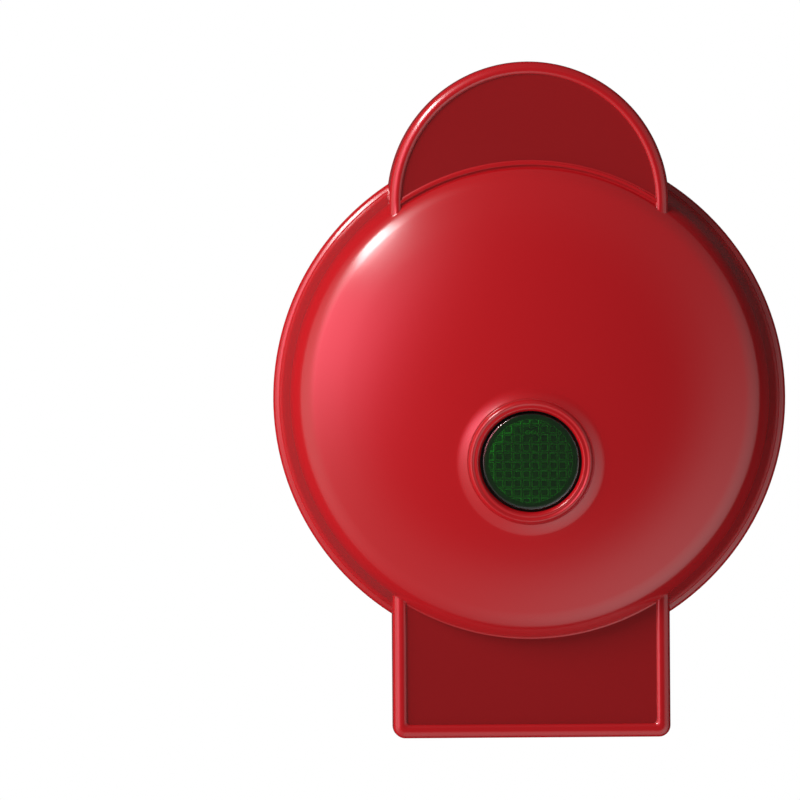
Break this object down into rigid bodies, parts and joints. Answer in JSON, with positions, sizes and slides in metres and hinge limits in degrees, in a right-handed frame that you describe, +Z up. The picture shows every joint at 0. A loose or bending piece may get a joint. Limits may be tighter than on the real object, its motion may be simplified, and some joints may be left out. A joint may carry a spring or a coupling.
{
  "type": "mini waffle maker",
  "caption": "Small round hinged electric waffle maker with a domed lid, a front handle, an indicator lamp and a pair of cast cooking plates joined by a cast hinge.",
  "frame": {"origin": "on the table, at the middle of the object's outline seen from above", "axes": "+X to the right, +Y to the rear where the hinge is, +Z up; the handle is at -Y"},
  "size_m": [0.128, 0.1689, 0.0693],
  "materials": {
    "red_cover": "glossy moulded plastic",
    "cooking_plate": "dark non-stick coating on cast aluminium",
    "clear_lens": "clear green moulded lens",
    "rubber_foot": "matt black rubber",
    "heater_tube": "heat-darkened tube",
    "sheet_steel": "plated sheet",
    "screw_steel": "zinc plate",
    "ceramic_bead": "white ceramic bead with a plated blade",
    "sensor_case": "drawn metal case",
    "black_plastic": "black moulded plastic",
    "lamp_glass": "clear lamp glass",
    "lead_sleeve": "woven glass sleeve"
  },
  "bodies": {
    "base": {"lower_cover": "red_cover", "lower_plate": "cooking_plate", "foot_front_left": "rubber_foot", "foot_front_right": "rubber_foot", "foot_rear_left": "rubber_foot", "foot_rear_right": "rubber_foot", "lower_heater": "heater_tube", "lower_heater_clamp": "sheet_steel", "lower_reflector": "sheet_steel", "thermostat_bracket": "sheet_steel", "lower_clamp_screw": "screw_steel", "base_screw_1": "screw_steel", "base_screw_2": "screw_steel", "base_screw_3": "screw_steel", "lower_terminal_left": "ceramic_bead", "lower_terminal_right": "ceramic_bead", "thermostat": "sensor_case", "terminal_block": "black_plastic", "cord_gland": "black_plastic", "hinge_lead": "lead_sleeve"},
    "lid": {"upper_cover": "red_cover", "indicator_lens": "clear_lens", "lamp_holder": "black_plastic", "indicator_lamp": "lamp_glass", "upper_plate": "cooking_plate", "upper_heater": "heater_tube", "upper_heater_clamp": "sheet_steel", "upper_clamp_screw": "screw_steel", "upper_reflector": "sheet_steel", "upper_reflector_screw_1": "screw_steel", "upper_reflector_screw_2": "screw_steel", "upper_reflector_screw_3": "screw_steel", "thermal_fuse": "sensor_case", "thermal_fuse_clip": "sheet_steel", "upper_terminal_left": "ceramic_bead", "upper_terminal_right": "ceramic_bead"}
  },
  "joints": [
    {"name": "lid_hinge", "type": "hinge", "parent": "base", "child": "lid", "pos_m": [0, 0.0613, 0.036], "axis": [-1, 0, 0], "range_deg": [0, 100], "deforming": ["hinge_lead"]}
  ]
}
